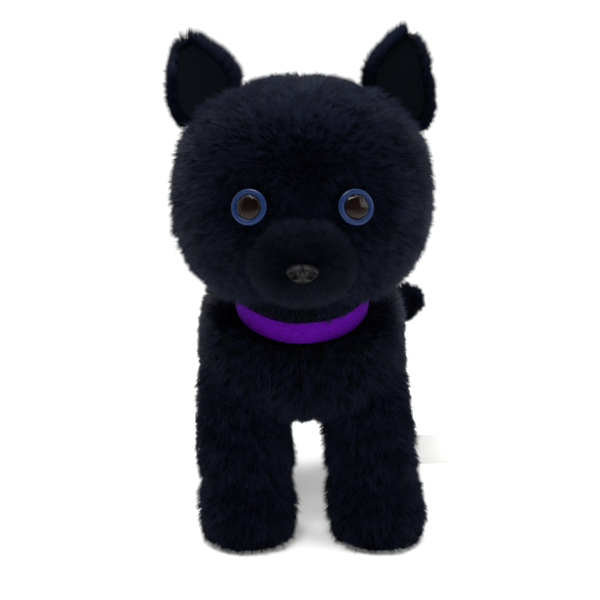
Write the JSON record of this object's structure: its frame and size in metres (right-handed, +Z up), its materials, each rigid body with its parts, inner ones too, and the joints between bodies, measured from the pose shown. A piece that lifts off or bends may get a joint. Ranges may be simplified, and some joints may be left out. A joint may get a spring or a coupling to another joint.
{
  "type": "plush cat",
  "caption": "Standing stuffed kitten with upright ears, button eyes, a muzzle insert, a felt collar, stuffed legs and a curled tail.",
  "frame": {"origin": "on the ground plane under the middle of the bounding box, label and tail included", "axes": "+Z up, -Y the way the face looks, +X the kitten's own left"},
  "size_m": [0.2951, 0.3468, 0.3897],
  "materials": {
    "long_pile": "matte",
    "muzzle_pile": "matte",
    "sole_pile": "matte",
    "ear_velour": "matte",
    "fibre_filling": "matte",
    "eye_blue": "gloss",
    "eye_brown": "gloss",
    "eye_clear": "gloss",
    "washer_plastic": "satin",
    "nose_plastic": "satin",
    "felt": "matte",
    "hook_tape": "matte",
    "loop_tape": "matte",
    "satin_ribbon": "satin"
  },
  "bodies": {
    "torso": {"torso_side_left": "long_pile", "torso_side_right": "long_pile", "belly_gusset": "long_pile", "torso_stuffing": "fibre_filling"},
    "neck": {"neck_panel": "long_pile", "neck_stuffing": "fibre_filling"},
    "head": {"forehead_gusset": "long_pile", "head_side_left": "long_pile", "head_side_right": "long_pile", "muzzle_panel": "muzzle_pile", "head_stuffing": "fibre_filling", "eye_left_cup": "eye_blue", "eye_left_pupil": "eye_brown", "eye_left_dome": "eye_clear", "eye_left_washer": "washer_plastic", "eye_right_cup": "eye_blue", "eye_right_pupil": "eye_brown", "eye_right_dome": "eye_clear", "eye_right_washer": "washer_plastic", "nose_button": "nose_plastic", "nose_washer": "washer_plastic"},
    "collar": {"collar_strap": "felt", "collar_loop_patch": "loop_tape", "collar_hook_patch": "hook_tape"},
    "ear_left": {"ear_left_back": "long_pile", "ear_left_lining": "ear_velour"},
    "ear_right": {"ear_right_back": "long_pile", "ear_right_lining": "ear_velour"},
    "front_left_leg": {"front_left_skin": "long_pile", "front_left_stuffing": "fibre_filling", "front_left_sole": "sole_pile"},
    "front_right_leg": {"front_right_skin": "long_pile", "front_right_stuffing": "fibre_filling", "front_right_sole": "sole_pile"},
    "hind_left_leg": {"hind_left_skin": "long_pile", "hind_left_stuffing": "fibre_filling", "hind_left_sole": "sole_pile"},
    "hind_right_leg": {"hind_right_skin": "long_pile", "hind_right_stuffing": "fibre_filling", "hind_right_sole": "sole_pile"},
    "tail": {"tail_skin": "long_pile", "tail_stuffing": "fibre_filling"},
    "care_label": {"care_label": "satin_ribbon"}
  },
  "joints": [
    {"name": "neck_turn", "type": "hinge", "parent": "torso", "child": "neck", "pos_m": [-0.04317, -0.0798, 0.187], "axis": [0, -0.5, 0.866], "range_deg": [-25, 25], "stiffness_Nm_per_rad": 0.35},
    {"name": "head_nod", "type": "hinge", "parent": "neck", "child": "head", "pos_m": [-0.04317, -0.0798, 0.187], "axis": [1, 0, 0], "range_deg": [-8, 8], "stiffness_Nm_per_rad": 1.6},
    {"name": "collar_slide_round", "type": "hinge", "parent": "torso", "child": "collar", "pos_m": [-0.04317, -0.0798, 0.187], "axis": [0, -0.5, 0.866], "continuous": true},
    {"name": "ear_left_fold", "type": "hinge", "parent": "head", "child": "ear_left", "pos_m": [0.02652, -0.0778, 0.32653], "axis": [0.7641, -0.1392, -0.6299], "range_deg": [-25, 25], "stiffness_Nm_per_rad": 0.06},
    {"name": "ear_right_fold", "type": "hinge", "parent": "head", "child": "ear_right", "pos_m": [-0.11286, -0.0778, 0.32653], "axis": [0.7049, 0.4067, 0.5811], "range_deg": [-25, 25], "stiffness_Nm_per_rad": 0.06},
    {"name": "front_left_swing", "type": "hinge", "parent": "torso", "child": "front_left_leg", "pos_m": [0.00483, -0.0768, 0.116], "axis": [1, 0, 0], "range_deg": [-15, 15], "stiffness_Nm_per_rad": 1.2},
    {"name": "front_right_swing", "type": "hinge", "parent": "torso", "child": "front_right_leg", "pos_m": [-0.08518, -0.0768, 0.116], "axis": [1, 0, 0], "range_deg": [-15, 15], "stiffness_Nm_per_rad": 1.2},
    {"name": "hind_left_swing", "type": "hinge", "parent": "torso", "child": "hind_left_leg", "pos_m": [0.01883, 0.0712, 0.112], "axis": [1, 0, 0], "range_deg": [-15, 15], "stiffness_Nm_per_rad": 1.2},
    {"name": "hind_right_swing", "type": "hinge", "parent": "torso", "child": "hind_right_leg", "pos_m": [-0.10518, 0.0712, 0.112], "axis": [1, 0, 0], "range_deg": [-15, 15], "stiffness_Nm_per_rad": 1.2},
    {"name": "tail_wag", "type": "hinge", "parent": "torso", "child": "tail", "pos_m": [-0.04317, 0.1062, 0.15], "axis": [0, 0, 1], "range_deg": [-8, 25], "stiffness_Nm_per_rad": 0.12},
    {"name": "label_flap", "type": "hinge", "parent": "hind_left_leg", "child": "care_label", "pos_m": [0.05903, 0.0692, 0.018], "axis": [0, 0, 1], "range_deg": [-40, 40], "stiffness_Nm_per_rad": 0.004}
  ]
}
